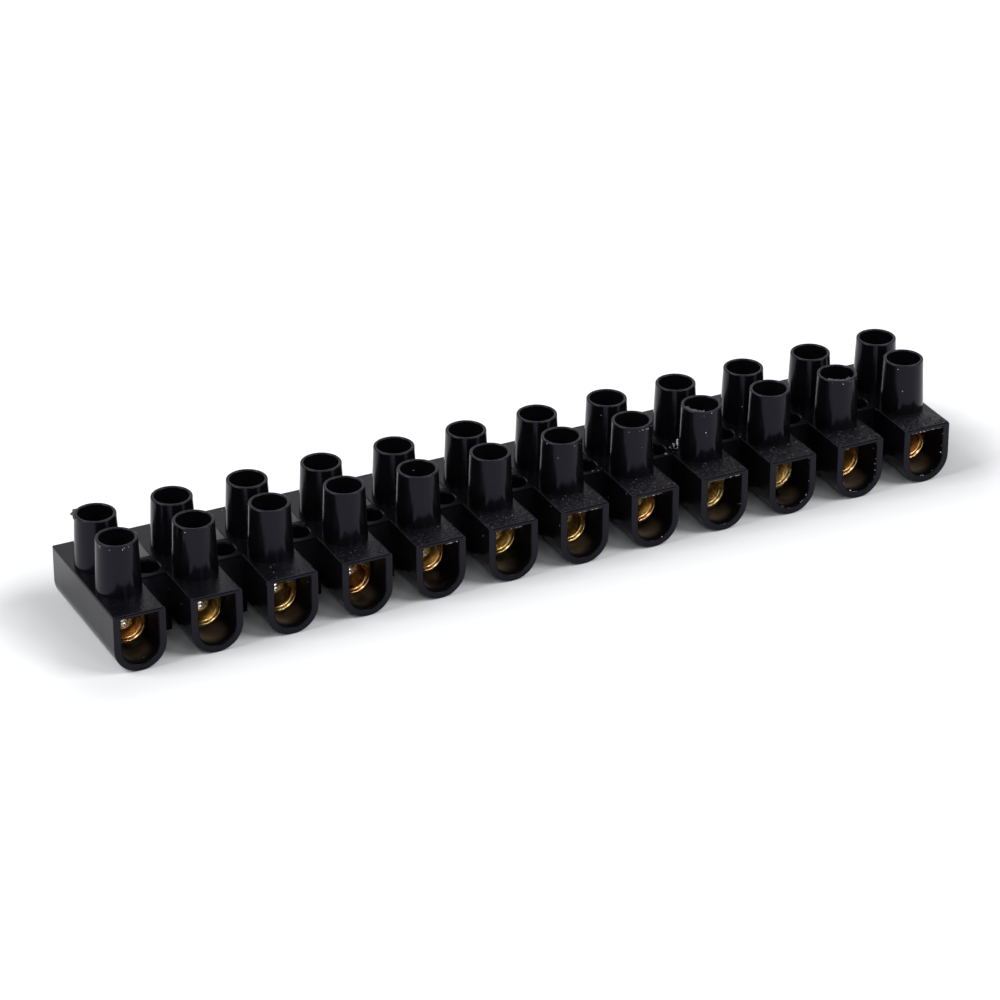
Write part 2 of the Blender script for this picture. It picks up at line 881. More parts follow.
@dataclass(frozen=True)
class ZincPlate:
    """Bright zinc on the clamp screws, a little cloudy and scuffed by the driver above the tip."""

    bright: Colour = (0.92, 0.92, 0.89, 1)
    dull: Colour = (0.52, 0.53, 0.55, 1)
    worn_z: Pair = (5.0, 5.8)
    tip_z: Pair = (4.0, 3.3)
    cloud_noise: Pair = (1.4, 4.0)
    cloud_marks: Pair = (0.35, 0.7)
    scuff_noise: Pair = (6.0, 2.0)
    scuff_depth: float = 0.01
    tip_pale: float = 0.15
    rough: float = 0.06
    scuff_rough: float = 0.05
    worn_rough: float = 0.08
    worn_scuff_rough: float = 0.15
    tip_rough: float = 0.05

    def material(self) -> bpy.types.Material:
        """Builds the material.

        Returns:
            The material.
        """
        material, sheet = new_sheet("zinc_plate")
        at = sheet.place()
        z = sheet.axes(at)[2]
        worn, tip = z.ramp(*self.worn_z), z.ramp(*self.tip_z)
        cloud, scuff = sheet.noise(at, *self.cloud_noise), sheet.noise(at, *self.scuff_noise)
        rough = self.rough + self.scuff_rough * scuff + self.tip_rough * tip
        rough = rough + (self.worn_rough + self.worn_scuff_rough * scuff) * worn
        shader = sheet.principled(
            {
                "Base Color": sheet.mix(cloud.ramp(*self.cloud_marks) * worn, self.bright, self.dull),
                "Metallic": 1.0 - self.tip_pale * tip,
                "Roughness": rough,
                "Normal": sheet.bump(scuff, self.scuff_depth),
            }
        )
        sheet.surface(shader)
        return material


@dataclass
class Housing:
    """The moulding: twelve U-shaped poles with chimneys, and a web with a fixing hole in each gap.

    The left deck edges are sharper than the right ones. The other edge radius stays below both.
    """

    finish: MouldedBlack = MouldedBlack()
    poles: int = 12
    pitch: float = 10.0
    pole_w: float = 6.8
    pole_l: float = 20.2
    deck_z: float = 8.1
    tunnel_w: float = 4.86
    tunnel_h: float = 6.63
    floor_wall: float = 0.87
    row_spacing: float = 6.9
    chimney_h: float = 7.0
    chimney_sink: float = 0.3
    bore_r: float = 2.175
    rim_wall: float = 0.43
    foot_wall: float = 0.71
    shank_r: float = 1.65
    shank_depth: float = 1.2
    web_w: float = 4.2
    web_l: float = 4.8
    hole_r: float = 1.6
    hole_chamfer: float = 0.25
    hole_sides: int = 48
    drill_past: float = 0.3
    edge: float = 0.11
    web_edge: float = 0.02
    deck_edges: Pair = (0.12, 0.42)
    lip: float = 0.08
    rim: float = 0.15
    groove: Pair = (0.14, 0.17)
    groove_below: float = 0.08
    groove_past: float = 1.2
    groove_edge: float = 0.3
    past: float = 0.5
    sides: int = 72
    weld: float = 0.004
    crease: float = 32.0

    def pole_x(self, i: int) -> float:
        """Place of pole i along the row, counted from 1."""
        return (i - (self.poles + 1) / 2) * self.pitch

    def rows(self) -> list[Triple]:
        """Places of a pole's two chimneys, with the pole at the origin."""
        return [(0, side.value * self.row_spacing / 2, 0) for side in Side]

    def arc(self, centre: Pair, radius: float, start: float, end: float) -> list[Pair]:
        """Points of a round edge.

        Args:
            centre: Its centre, as radius and height.
            radius: Its own radius.
            start: Angle where it starts, in degrees from outwards towards up.
            end: Angle where it ends.

        Returns:
            Four points, as radius and height.
        """
        steps = 3
        turns = [math.radians(start + (end - start) * k / steps) for k in range(steps + 1)]
        return [(centre[0] + radius * math.cos(t), centre[1] + radius * math.sin(t)) for t in turns]

    def deck_edge(self, side: int) -> EdgeTest:
        """A test for the long top edge on one side of a pole, by the sign of its X."""
        high, far = (self.deck_z - NEAR) * MM, (self.pole_w / 2 - NEAR) * MM
        return lambda e: all(v.co.z > high and side * v.co.x > far for v in e.verts)

    def pole(self) -> Piece:
        """Models one pole at the origin.

        Returns:
            The pole, with chimneys and tunnel.
        """
        top, b = self.deck_z, self.rim
        body = Bench.u_bar("pole_body", (self.pole_w, self.pole_l, top), 0.0, self.sides)
        for side, width in zip((-1, 1), self.deck_edges):
            Bench.soften(body, width, 4, self.deck_edge(side))
        Bench.soften(body, self.edge, 3, Bench.end_edges(self.pole_l / 2))
        foot_r, rim_r = self.bore_r + self.foot_wall, self.bore_r + self.rim_wall
        rim_z = top + self.chimney_h
        rings = [(foot_r, top - self.chimney_sink), (foot_r, top)]
        rings += self.arc((rim_r - b, rim_z - b), b, 0, 90)
        chimney = Bench.lathe("chimney", rings, self.sides)
        Bench.carve(body, Bench.repeat(chimney, "chimneys", self.rows()), Cut.UNION)
        inner = (self.tunnel_w, self.pole_l - 2 * self.lip, self.tunnel_h)
        tunnel = Bench.u_bar("tunnel", inner, self.floor_wall, self.sides)
        Bench.flare(tunnel, (self.tunnel_w, self.tunnel_h), self.lip, self.past)
        Bench.carve(body, tunnel, Cut.DIFFERENCE)
        Bench.carve(body, self.lintel_grooves(), Cut.DIFFERENCE)
        rings = [(self.shank_r, top - self.shank_depth), (self.shank_r, top), (self.bore_r, top)]
        rings += self.arc((self.bore_r + b, rim_z - b), b, 180, 90)
        rings += [(self.bore_r + b, rim_z + self.past)]
        bore = Bench.lathe("bore", rings, self.sides)
        Bench.carve(body, Bench.repeat(bore, "bores", self.rows()), Cut.DIFFERENCE)
        return body

    def lintel_grooves(self) -> Piece:
        """Models the cutter of the fine step under the deck at both wire entries.

        Returns:
            The cutter, in place on a pole at the origin.
        """
        high, deep = self.groove
        size = (self.tunnel_w + self.groove_past, 2 * deep, high)
        y, z = self.pole_l / 2, self.deck_z - self.groove_below - high / 2
        strips = [Bench.block(f"groove_{side.name}", size, (0, side.value * y, z)) for side in Side]
        for strip in strips:
            Bench.soften(strip, high * self.groove_edge, 2, lambda e: Bench.span(e).x > TOUCH)
        return Bench.join(strips, "grooves")

    def web(self) -> Piece:
        """Models one web, not yet drilled.

        Returns:
            The web, at the origin.
        """
        block = Bench.block("web", (self.web_w, self.web_l, self.deck_z), (0, 0, self.deck_z / 2))
        Bench.soften(block, self.web_edge, 3, lambda e: max(Bench.span(e).yz) < TOUCH)
        return block

    def build(self) -> Piece:
        """Models the whole moulding as one shell.

        Returns:
            The shell, which stands for every pole and web.
        """
        places = [(self.pole_x(i), 0, 0) for i in range(1, self.poles + 1)]
        gaps = [(x + self.pitch / 2, 0, 0) for x, _, _ in places[:-1]]
        shell = Bench.repeat(self.pole(), "housing_shell", places)
        Bench.carve(shell, Bench.repeat(self.web(), "webs", gaps), Cut.UNION)
        r, c, top = self.hole_r, self.hole_chamfer, self.deck_z
        rings = [(r, -self.past), *self.arc((r + c, top - c), c, 180, 90), (r + c, top + self.drill_past)]
        drill = Bench.lathe("drill", rings, self.hole_sides)
        Bench.carve(shell, Bench.repeat(drill, "drills", gaps), Cut.DIFFERENCE)
        Bench.recalculate(shell, self.weld)
        Bench.smooth(shell, self.crease)
        return shell

    def dress(self, shell: Piece) -> None:
        """Gives the shell its finish, its body and the nodes it stands for.

        Args:
            shell: The whole moulding.
        """
        material = self.finish.material()
        Bench.paint(shell, material)
        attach(shell, "strip")
        nodes = [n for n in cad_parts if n.startswith(("pole_", "web_"))]
        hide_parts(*nodes)
        for n in nodes:
            Bench.paint(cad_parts[n], material)


@dataclass
class WireInsert:
    """Brass bar in a pole: a round wire bore along it and two tapped holes from its flat top.

    The mouth of the bore is a row of steps, each as its distance out and its depth in chamfers.
    """

    finish: DrawnBrass = DrawnBrass()
    width: float = 4.48
    height: float = 5.68
    length: float = 12.2
    bore_r: float = 1.65
    axis_h: float = 2.35
    bore_chamfer: float = 0.3
    mouth: tuple[Pair, ...] = (
        (0.0, 1.45), (0.06, 1.25), (0.3, 1.1), (0.42, 0.95), (0.47, 0.7),
        (0.55, 0.5), (0.9, 0.22), (1.02, 0.08), (1.15, 0.0),
    )
    bore_past: float = 0.3
    tapped_r: float = 1.55
    tap_past: float = 0.5
    row_spacing: float = 6.9
    edge: float = 0.07
    sides: int = 64
    weld: float = 0.002
    crease: float = 30.0

    def build(self) -> Piece:
        """Models one insert.

        Returns:
            The insert at the origin, standing on Z = 0.
        """
        half = self.length / 2
        bar = Bench.u_bar("insert", (self.width, self.length, self.height), 0.0, self.sides)
        Bench.soften(bar, self.edge, 2, Bench.end_edges(half))
        r, c = self.bore_r, self.bore_chamfer
        mouth = [(r + out * c, half - deep * c) for out, deep in self.mouth]
        mouth.append((mouth[-1][0], half + self.bore_past))
        rings = [(radius, -z) for radius, z in reversed(mouth)] + mouth
        bore = Bench.lathe("wire_bore", rings, self.sides)
        bore.rotation_euler = (math.pi / 2, 0, 0)
        bore.location = (0, 0, self.axis_h * MM)
        Bench.carve(bar, Bench.settle(bore, "wire_bore"), Cut.DIFFERENCE)
        rings = [(self.tapped_r, self.axis_h), (self.tapped_r, self.height + self.tap_past)]
        tap = Bench.lathe("tap", rings, self.sides)
        rows = [(0, side.value * self.row_spacing / 2, 0) for side in Side]
        Bench.carve(bar, Bench.repeat(tap, "taps", rows), Cut.DIFFERENCE)
        Bench.recalculate(bar, self.weld)
        Bench.smooth(bar, self.crease)
        return bar

    def dress(self, bar: Piece, housing: Housing) -> list[Piece]:
        """Puts a copy in every pole, at the height of its solid.

        Args:
            bar: The insert at the origin.
            housing: Gives the places of the poles.

        Returns:
            The twelve copies.
        """
        Bench.paint(bar, self.finish.material())
        made = []
        for i in range(1, housing.poles + 1):
            node = f"terminal_{i:02d}"
            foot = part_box(node)[0].z / MM
            piece = Bench.copy(bar, f"insert_{i:02d}", (housing.pole_x(i), 0, foot))
            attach(piece, "strip")
            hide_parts(node)
            made.append(piece)
        bpy.data.objects.remove(bar)
        return made


@dataclass
class ClampScrew:
    """Slotted cheese-head screw with a domed tip and an M3 thread that runs out on it.

    The dome is rings of radius and height above the tip. The head's bulge is in chamfers, in from its side
    and down from its top. The wire bore is that of the highest insert, as radius and height of its axis.
    """

    finish: ZincPlate = ZincPlate()
    tip_z: float = 2.67
    dome: tuple[Pair, ...] = (
        (0.45, 0.0), (0.62, 0.02), (0.82, 0.08), (0.98, 0.17),
        (1.1, 0.29), (1.18, 0.45), (1.22, 0.65), (1.2, 0.95),
    )
    wire_bore: Pair = (1.65, 4.07)
    bore_gap: float = 0.06
    root_r: float = 1.2
    thread_r: float = 1.5
    thread_pitch: float = 0.5
    thread_from: float = 0.42
    thread_stop: float = 0.3
    thread_sink: float = 0.06
    thread_steps: int = 30
    crest_half: float = 0.08
    root_half: float = 0.235
    crest_round: float = 0.09
    head_z: float = 8.15
    head_r: float = 1.975
    head_h: float = 1.8
    head_chamfer: float = 0.2
    head_bulge: Pair = (0.4, 0.3)
    head_edge: float = 0.08
    neck: float = 0.02
    slot_w: float = 0.7
    slot_depth: float = 0.9
    slot_edge: float = 0.08
    blade: Pair = (6.0, 2.0)
    sides: int = 48
    crease: float = 40.0
    seed: int = 7

    def reach(self, z: float) -> float:
        """Finds the largest radius of the thread that is clear of the wire bore in the highest insert.

        Args:
            z: Height on the screw.

        Returns:
            The radius there.
        """
        bore_r, axis_z = self.wire_bore
        below = max(0.0, axis_z - z)
        return min(self.thread_r, math.sqrt(max(0.0, bore_r**2 - below**2)) - self.bore_gap)

    def shank(self) -> Piece:
        """Models the core, tip and slotted head.

        Returns:
            The screw without its thread.
        """
        top, c = self.head_z + self.head_h, self.head_chamfer
        across, down = self.head_bulge
        rings = [(r, self.tip_z + z) for r, z in self.dome]
        rings += [
            (self.root_r, self.head_z - self.neck),
            (self.head_r - self.head_edge, self.head_z),
            (self.head_r, self.head_z + self.head_edge),
            (self.head_r, top - c),
            (self.head_r - c * across, top - c * down),
            (self.head_r - c, top),
        ]
        core = Bench.lathe("screw", rings, self.sides)
        floor = top - self.slot_depth
        long, high = self.blade
        blade = Bench.block("slot_cutter", (self.slot_w, long, high), (0, 0, floor + high / 2))
        low = (floor + NEAR) * MM
        Bench.soften(
            blade,
            self.slot_edge,
            2,
            lambda e: Bench.span(e).x < TOUCH and all(v.co.z < low for v in e.verts),
        )
        Bench.carve(core, blade, Cut.DIFFERENCE)
        return core

    def ridge(self) -> Piece:
        """Models the helical thread as a closed ridge round the core.

        Returns:
            The ridge.
        """
        Bench.clear()
        start = self.tip_z + self.thread_from
        bpy.ops.mesh.primitive_plane_add(size=1, rotation=(math.pi / 2, 0, 0))
        coil = Bench.settle(bpy.context.object, "thread")
        root, crest = self.root_r - self.thread_sink, self.thread_r
        for v in coil.data.vertices:
            radius, half = (crest, self.crest_half) if v.co.x > 0 else (root, self.root_half)
            v.co = Vector((radius, 0, start + math.copysign(half, v.co.z))) * MM
        with Bench.edit(coil):
            Bench.pick(coil, Pick.VERT, lambda v: v.co.x > (root + crest) / 2 * MM)
            bpy.ops.mesh.bevel(offset=self.crest_round * MM, segments=3, affect="VERTICES")
            bpy.ops.mesh.select_all(action="SELECT")
            bpy.ops.mesh.delete(type="ONLY_FACE")
        settings = {
            "axis": "Z",
            "angle": math.tau,
            "screw_offset": self.thread_pitch * MM,
            "iterations": round((self.head_z - self.thread_stop - start) / self.thread_pitch),
            "steps": self.thread_steps,
            "render_steps": self.thread_steps,
            "use_merge_vertices": False,
        }
        Bench.apply(coil, "SCREW", settings)
        with Bench.edit(coil):
            bpy.ops.mesh.select_all(action="SELECT")
            bpy.ops.mesh.remove_doubles(threshold=TOUCH * MM)
            bpy.ops.mesh.select_all(action="SELECT")
            bpy.ops.mesh.fill_holes(sides=0)
        Bench.recalculate(coil)
        for v in coil.data.vertices:
            far = math.hypot(v.co.x, v.co.y)
            keep = min(1.0, self.reach(v.co.z / MM) * MM / far)
            v.co.x, v.co.y = v.co.x * keep, v.co.y * keep
        return coil

    def build(self) -> Piece:
        """Models one screw.

        Returns:
            The screw on the Z axis, at the height where it is driven home.
        """
        screw = Bench.join([self.shank(), self.ridge()], "screw")
        Bench.smooth(screw, self.crease)
        return screw

    def dress(self, screw: Piece, housing: Housing) -> list[Piece]:
        """Puts a copy under every chimney, each left at its own turn.

        Args:
            screw: The screw on the Z axis.
            housing: Gives the places of the poles and rows.

        Returns:
            The copies, one on each screw's body.
        """
        Bench.paint(screw, self.finish.material())
        turns = random.Random(self.seed)
        made = []
        for i in range(1, housing.poles + 1):
            for side in Side:
                body = f"screw_{i:02d}_{side.name.lower()}"
                at = (housing.pole_x(i), side.value * housing.row_spacing / 2, 0)
                piece = Bench.copy(screw, f"clamp_{body}", at, turns.uniform(0, math.pi))
                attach(piece, body)
                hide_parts(body)
                made.append(piece)
        bpy.data.objects.remove(screw)
        return made


@dataclass
class MouldFlash:
    """Scraps that the mould left: fins under lintels and on rims, crumbs, shavings, and sand on the decks.

    Fins are pole, start and end: along X from the pole's middle under a lintel, in degrees round a rim.
    Specks, rim crumbs and sand are pole and count, and wall crumbs are pole, degrees and height. Heaps of
    crumbs on the webs are X, Y, spread and count, and shavings are X, Y and size.
    The finishes are in the order of the pieces that build returns.
    """

    finishes: tuple[PaleFlash, ...] = (
        PaleFlash("pale_flash"),
        PaleFlash("dark_flash", light=(0.06, 0.06, 0.065, 1)),
        PaleFlash("crumbs", (0.45, 0.6)),
        PaleFlash("curls", (0.2, 0.4), (0.76, 0.76, 0.78, 1)),
        PaleFlash("sand", light=(0.05, 0.05, 0.054, 1)),
    )
    lintel_fins: tuple[OnPole, ...] = (
        (5, 0.6, 2.3), (6, -0.6, 1.2), (7, -1.0, 2.3), (8, -2.2, 0.9),
        (9, -2.2, 2.3), (11, -2.3, -1.7), (12, -2.3, 2.3),
    )
    lintel_step: float = 0.13
    lintel_ragged: float = 0.13
    lintel_flat: float = 0.25
    lintel_sink: float = 0.06
    lintel_root: float = 0.02
    inner_fins: tuple[OnPole, ...] = ((9, 170.0, 252.0), (11, 205.0, 300.0))
    inner_reach: float = -0.5
    outer_fin: OnPole = (1, 128.0, 196.0)
    outer_reach: float = 0.32
    rim_root: float = 0.05
    rim_below: float = 0.14
    rim_step: float = 5.0
    rim_ragged: float = 0.26
    rim_flat: float = 0.35
    frame_specks: tuple[Count, ...] = ((7, 1), (8, 2), (9, 5), (10, 16), (11, 24), (12, 12))
    speck_size: Pair = (0.13, 0.26)
    speck_proud: float = 0.6
    round_share: float = 0.6
    rim_crumbs: tuple[Count, ...] = ((1, 9), (7, 4), (8, 8), (9, 4), (11, 6))
    rim_crumb_turn: Pair = (-165.0, -40.0)
    rim_crumb_below: Pair = (0.2, 0.5)
    rim_crumb_size: Pair = (0.12, 0.26)
    wall_crumbs: tuple[OnPole, ...] = (
        (2, -135.0, 14.6), (9, -121.0, 12.1), (9, -102.0, 11.9),
        (9, -105.0, 12.3), (8, -89.0, 12.3), (12, -136.0, 14.6),
    )
    wall_crumb_size: float = 0.2
    heaps: tuple[tuple[float, float, float, int], ...] = (
        (22.8, -0.6, 0.7, 9), (20.9, -2.0, 0.5, 10), (31.3, -1.2, 0.6, 14), (10.9, -1.9, 0.4, 6),
    )
    heap_size: Pair = (0.12, 0.34)
    heap_lift: float = 0.2
    heap_from_hole: float = 0.35
    heap_from_edge: float = 0.2
    curls: tuple[Triple, ...] = ((23.2, -0.8, 1.1), (23.7, -0.1, 0.9), (22.7, -1.1, 0.7), (24.3, 0.2, 0.7))
    curl_r: float = 0.42
    curl_half: float = 0.08
    curl_turn: float = 250.0
    curl_steps: int = 14
    curl_axis: Triple = (0.2, 0.0, 1.0)
    curl_ragged: float = 0.06
    curl_lean: float = 65.0
    curl_lift: float = 0.4
    crumb_r: float = 0.5
    crumb_ragged: float = 0.2
    crumb_flat: Triple = (1.0, 0.7, 0.6)
    deck_sand: tuple[Count, ...] = (
        (3, 1), (4, 1), (5, 1), (6, 2), (7, 3), (8, 4), (9, 3), (10, 6), (11, 6), (12, 3),
    )
    clusters: int = 6
    cluster_grains: int = 14
    grain_size: Pair = (0.15, 0.38)
    grain_spread: float = 1.5
    grain_lift: float = 0.12
    grain_from_edge: Pair = (0.3, 0.16)
    grain_from_chimney: float = 0.1
    drop: float = 0.15
    wall: float = 0.05
    roof_z: float = 7.5
    face_y: float = -10.02
    seed: int = 11

    def lintel_fin(self, name: str, place: OnPole, housing: Housing) -> Piece:
        """Models one ragged fin that hangs from a lintel.

        Args:
            name: The fin's name.
            place: Pole, start and end.
            housing: Gives the places of the poles.

        Returns:
            The fin.
        """
        pole, start, end = place
        drop, length = self.drop, end - start
        Bench.clear()
        middle = housing.pole_x(pole) + (start + end) / 2
        at = Vector((middle, self.face_y, self.roof_z + self.lintel_sink - drop / 2)) * MM
        steps = max(5, round(length / self.lintel_step))
        bpy.ops.mesh.primitive_grid_add(
            x_subdivisions=steps, y_subdivisions=2, size=1, location=at, rotation=(math.pi / 2, 0, 0)
        )
        bpy.context.object.scale = (length * MM, drop * MM, 1)
        fin = Bench.settle(bpy.context.object, name)
        seed = self.seed + round(10 * start) + pole
        with Bench.edit(fin):
            Bench.pick(fin, Pick.VERT, lambda v: v.co.z < (self.roof_z - self.lintel_root) * MM)
            bpy.ops.transform.vertex_random(offset=self.lintel_ragged * MM, seed=seed)
            face = (0, self.face_y * MM, 0)
            bpy.ops.transform.resize(value=(1, self.lintel_flat, 1), center_override=face)
        Bench.thicken(fin, self.wall)
        return fin

    def rim_fin(self, name: str, place: OnPole, reach: Pair, side: Side, housing: Housing) -> Piece:
        """Models one ragged fin along a chimney's rim.

        Args:
            name: The fin's name.
            place: Pole, start and end.
            reach: Radius where the fin is rooted, and radius of its ragged edge.
            side: Row of the chimney.
            housing: Gives the places of the chimneys.

        Returns:
            The fin.
        """
        pole, start, end = place
        centre = Vector((housing.pole_x(pole), side.value * housing.row_spacing / 2, 0)) * MM
        level = Vector((0, 0, (housing.deck_z + housing.chimney_h - self.rim_below) * MM))
        toward = Vector((math.cos(math.radians(start)), math.sin(math.radians(start)), 0))
        fin = Bench.rib(name, *(centre + toward * r * MM + level for r in reach))
        steps, turn = max(6, round((end - start) / self.rim_step)), math.radians(end - start)
        far = abs(reach[1] - reach[0]) / 2
        with Bench.edit(fin):
            bpy.ops.mesh.select_all(action="SELECT")
            bpy.ops.mesh.spin(steps=steps, angle=turn, center=centre, axis=(0, 0, -1))
            Bench.pick(fin, Pick.VERT, lambda v: abs((v.co - centre).xy.length / MM - reach[0]) > far)
            bpy.ops.transform.vertex_random(offset=self.rim_ragged * MM, seed=self.seed + pole)
            bpy.ops.transform.resize(value=(1, 1, self.rim_flat), center_override=level)
        Bench.thicken(fin, self.wall)
        Bench.recalculate(fin)
        return fin

    def curl(self) -> Piece:
        """Models one curled shaving of about 1 mm.

        Returns:
            The shaving at the origin, leaning over.
        """
        ends = (Vector((self.curl_r, 0, z)) * MM for z in (-self.curl_half, self.curl_half))
        curl = Bench.rib("curl", *ends)
        turn = math.radians(self.curl_turn)
        with Bench.edit(curl):
            bpy.ops.mesh.select_all(action="SELECT")
            bpy.ops.mesh.spin(steps=self.curl_steps, angle=turn, center=(0, 0, 0), axis=self.curl_axis)
            bpy.ops.mesh.select_all(action="SELECT")
            bpy.ops.transform.vertex_random(offset=self.curl_ragged * MM, seed=self.seed)
        Bench.recalculate(curl)
        Bench.thicken(curl, self.wall)
        curl.rotation_euler = (math.radians(self.curl_lean), 0, 0)
        return Bench.settle(curl, "curl")

    def crumb(self) -> Piece:
        """Models one crumb of 1 mm.

        Returns:
            The crumb at the origin.
        """
        Bench.clear()
        bpy.ops.mesh.primitive_ico_sphere_add(subdivisions=1, radius=self.crumb_r * MM)
        crumb = Bench.settle(bpy.context.object, "crumb")
        with Bench.edit(crumb):
            bpy.ops.mesh.select_all(action="SELECT")
            bpy.ops.transform.vertex_random(offset=self.crumb_ragged * MM, seed=self.seed)
            bpy.ops.transform.resize(value=self.crumb_flat)
        return crumb

    def on_entry(self, along: float, housing: Housing) -> Pair:
        """Finds a place on the edge of a wire entry.

        Args:
            along: Share of the way from the bottom to the upper right corner, or the left one below 0.
            housing: Gives the tunnel's sizes.

        Returns:
            X from the pole's middle, and height.
        """
        half_w, axis_z = housing.tunnel_w / 2, housing.floor_wall + housing.tunnel_w / 2
        if abs(along) < self.round_share:
            turn = math.radians(-90 + 90 / self.round_share * along)
            return half_w * math.cos(turn), axis_z + half_w * math.sin(turn)
        share = (abs(along) - self.round_share) / (1 - self.round_share)
        return math.copysign(half_w, along), axis_z + share * (self.roof_z - axis_z)

    def on_wall(self, pole: int, turn: float, z: float, housing: Housing) -> Vector:
        """Finds a place on the wall of a front chimney.

        Args:
            pole: The chimney's pole.
            turn: Direction from the chimney's axis, in radians.
            z: Height.
            housing: Gives the places and sizes of the chimneys.

        Returns:
            The place.
        """
        share = (housing.deck_z + housing.chimney_h - z) / housing.chimney_h
        r = housing.bore_r + housing.rim_wall + (housing.foot_wall - housing.rim_wall) * share
        middle = Vector((housing.pole_x(pole), -housing.row_spacing / 2, z))
        return middle + Vector((r * math.cos(turn), r * math.sin(turn), 0))

    def places(self, housing: Housing) -> Iterator[tuple[Vector, float]]:
        """Draws the place and the size of every crumb.

        Args:
            housing: Gives the places of poles and chimneys.

        Returns:
            Places and sizes in millimetres.
        """
        draw = random.Random(self.seed)
        rim_z = housing.deck_z + housing.chimney_h
        least, more = self.speck_size
        for pole, count in self.frame_specks:
            for _ in range(count):
                size, along = least + more * draw.random() ** 2, draw.uniform(-1.0, 1.0)
                x, z = self.on_entry(along, housing)
                y = -housing.pole_l / 2 + self.speck_proud * size
                yield Vector((housing.pole_x(pole) + x, y, z)), size
        for pole, count in self.rim_crumbs:
            for _ in range(count):
                turn = math.radians(draw.uniform(*self.rim_crumb_turn))
                z = rim_z - draw.uniform(*self.rim_crumb_below)
                yield self.on_wall(pole, turn, z, housing), draw.uniform(*self.rim_crumb_size)
        for pole, degrees, z in self.wall_crumbs:
            yield self.on_wall(pole, math.radians(degrees), z, housing), self.wall_crumb_size
        for x, y, spread, count in self.heaps:
            hole = Vector((x - x % housing.pitch, 0, 0))
            for _ in range(count):
                at = Vector((x + draw.gauss(0, spread), y + draw.gauss(0, spread), housing.deck_z))
                size = draw.uniform(*self.heap_size)
                free = (at - hole).xy.length > housing.hole_r + self.heap_from_hole
                if free and abs(at.y) < housing.web_l / 2 - self.heap_from_edge:
                    yield at + Vector((0, 0, self.heap_lift * size)), size

    def sand(self, crumb: Piece, housing: Housing) -> list[Piece]:
        """Models clusters of grains and lays them on the decks in front of the chimneys.

        Args:
            crumb: The crumb that each grain is a small copy of.
            housing: Gives the places of poles and chimneys.

        Returns:
            The clusters, in place.
        """
        draw = random.Random(self.seed + 1)
        foot = Vector((0, -housing.row_spacing / 2, 0))
        clear = housing.bore_r + housing.foot_wall + self.grain_from_chimney
        side = housing.pole_w / 2 - self.grain_from_edge[0]
        reach = housing.pole_l / 2 - self.grain_from_edge[1]
        clusters = []
        for c in range(self.clusters):
            grains = []
            while len(grains) < self.cluster_grains:
                at = Vector((draw.uniform(-side, side), -reach + abs(draw.gauss(0, self.grain_spread)), 0))
                if (at - foot).length > clear:
                    size = draw.uniform(*self.grain_size)
                    at.z = housing.deck_z + self.grain_lift * size
                    name = f"grain_{c}_{len(grains)}"
                    grains.append(Bench.copy(crumb, name, at, draw.uniform(0, TURN), size))
            clusters.append(Bench.join(grains, f"cluster_{c}"))
        laid = []
        for pole, count in self.deck_sand:
            at = (housing.pole_x(pole), 0, 0)
            for c in range(count):
                laid.append(Bench.copy(clusters[(pole + c) % self.clusters], f"sand_{pole}_{c}", at))
        for cluster in clusters:
            bpy.data.objects.remove(cluster)
        return laid

    def rims(self, housing: Housing) -> list[Piece]:
        """Models the fins on the rims.

        Args:
            housing: Gives the places and sizes of the chimneys.

        Returns:
            The fins inside front chimneys, and the one outside a back chimney.
        """
        inner = housing.bore_r + self.rim_root
        outer = housing.bore_r + housing.rim_wall - self.rim_root
        reach = (inner, inner + self.inner_reach)
        fins = []
        for place in self.inner_fins:
            fins.append(self.rim_fin(f"rim_fin_{place[0]}", place, reach, Side.FRONT, housing))
        reach = (outer, outer + self.outer_reach)
        return [*fins, self.rim_fin("rim_fin_back", self.outer_fin, reach, Side.BACK, housing)]

    def build(self, housing: Housing) -> list[Piece]:
        """Models every scrap, joined by kind.

        Args:
            housing: Gives the places of poles, rims and edges.

        Returns:
            Fins of the lintels, fins of the rims, crumbs, shavings, and sand on the decks.
        """
        hung = [self.lintel_fin(f"fin_{k}", place, housing) for k, place in enumerate(self.lintel_fins)]
        rims = self.rims(housing)
        turns = random.Random(self.seed)
        crumb = self.crumb()
        crumbs = [
            Bench.copy(crumb, f"crumb_{k}", at, turns.uniform(0, TURN), size)
            for k, (at, size) in enumerate(self.places(housing))
        ]
        sand = self.sand(crumb, housing)
        curl = self.curl()
        curls = []
        for k, (x, y, size) in enumerate(self.curls):
            at = (x, y, housing.deck_z + self.curl_lift * size)
            curls.append(Bench.copy(curl, f"curl_{k}", at, turns.uniform(0, TURN), size))
        for pattern in (crumb, curl):
            bpy.data.objects.remove(pattern)
        kinds = {"lintel_fins": hung, "rim_fins": rims, "crumbs": crumbs, "curls": curls, "deck_sand": sand}
        return [Bench.join(pieces, name) for name, pieces in kinds.items()]

    def dress(self, scraps: Sequence[Piece]) -> None:
        """Gives the scraps their finish and their body.

        Args:
            scraps: The joined scraps, in the order of the finishes.
        """
        for scrap, finish in zip(scraps, self.finishes):
            Bench.paint(scrap, finish.material())
            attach(scrap, "strip")


@dataclass(frozen=True)
class Softbox:
    """A square lamp that faces the strip."""

    name: str
    at: Triple
    size: float
    radiance: float
    colour: Triple = (1.0, 1.0, 1.0)

    def build(self) -> None:
        """Hangs the lamp."""
        data = bpy.data.lights.new(self.name, "AREA")
        data.shape, data.size = "SQUARE", self.size * MM
        data.energy = math.pi * (self.size * MM) ** 2 * self.radiance
        data.color = self.colour
        lamp = bpy.data.objects.new(self.name, data)
        lamp.location = Vector(self.at) * MM
        lamp.rotation_euler = (-lamp.location).to_track_quat("-Z", "Y").to_euler()
        bpy.context.scene.collection.objects.link(lamp)


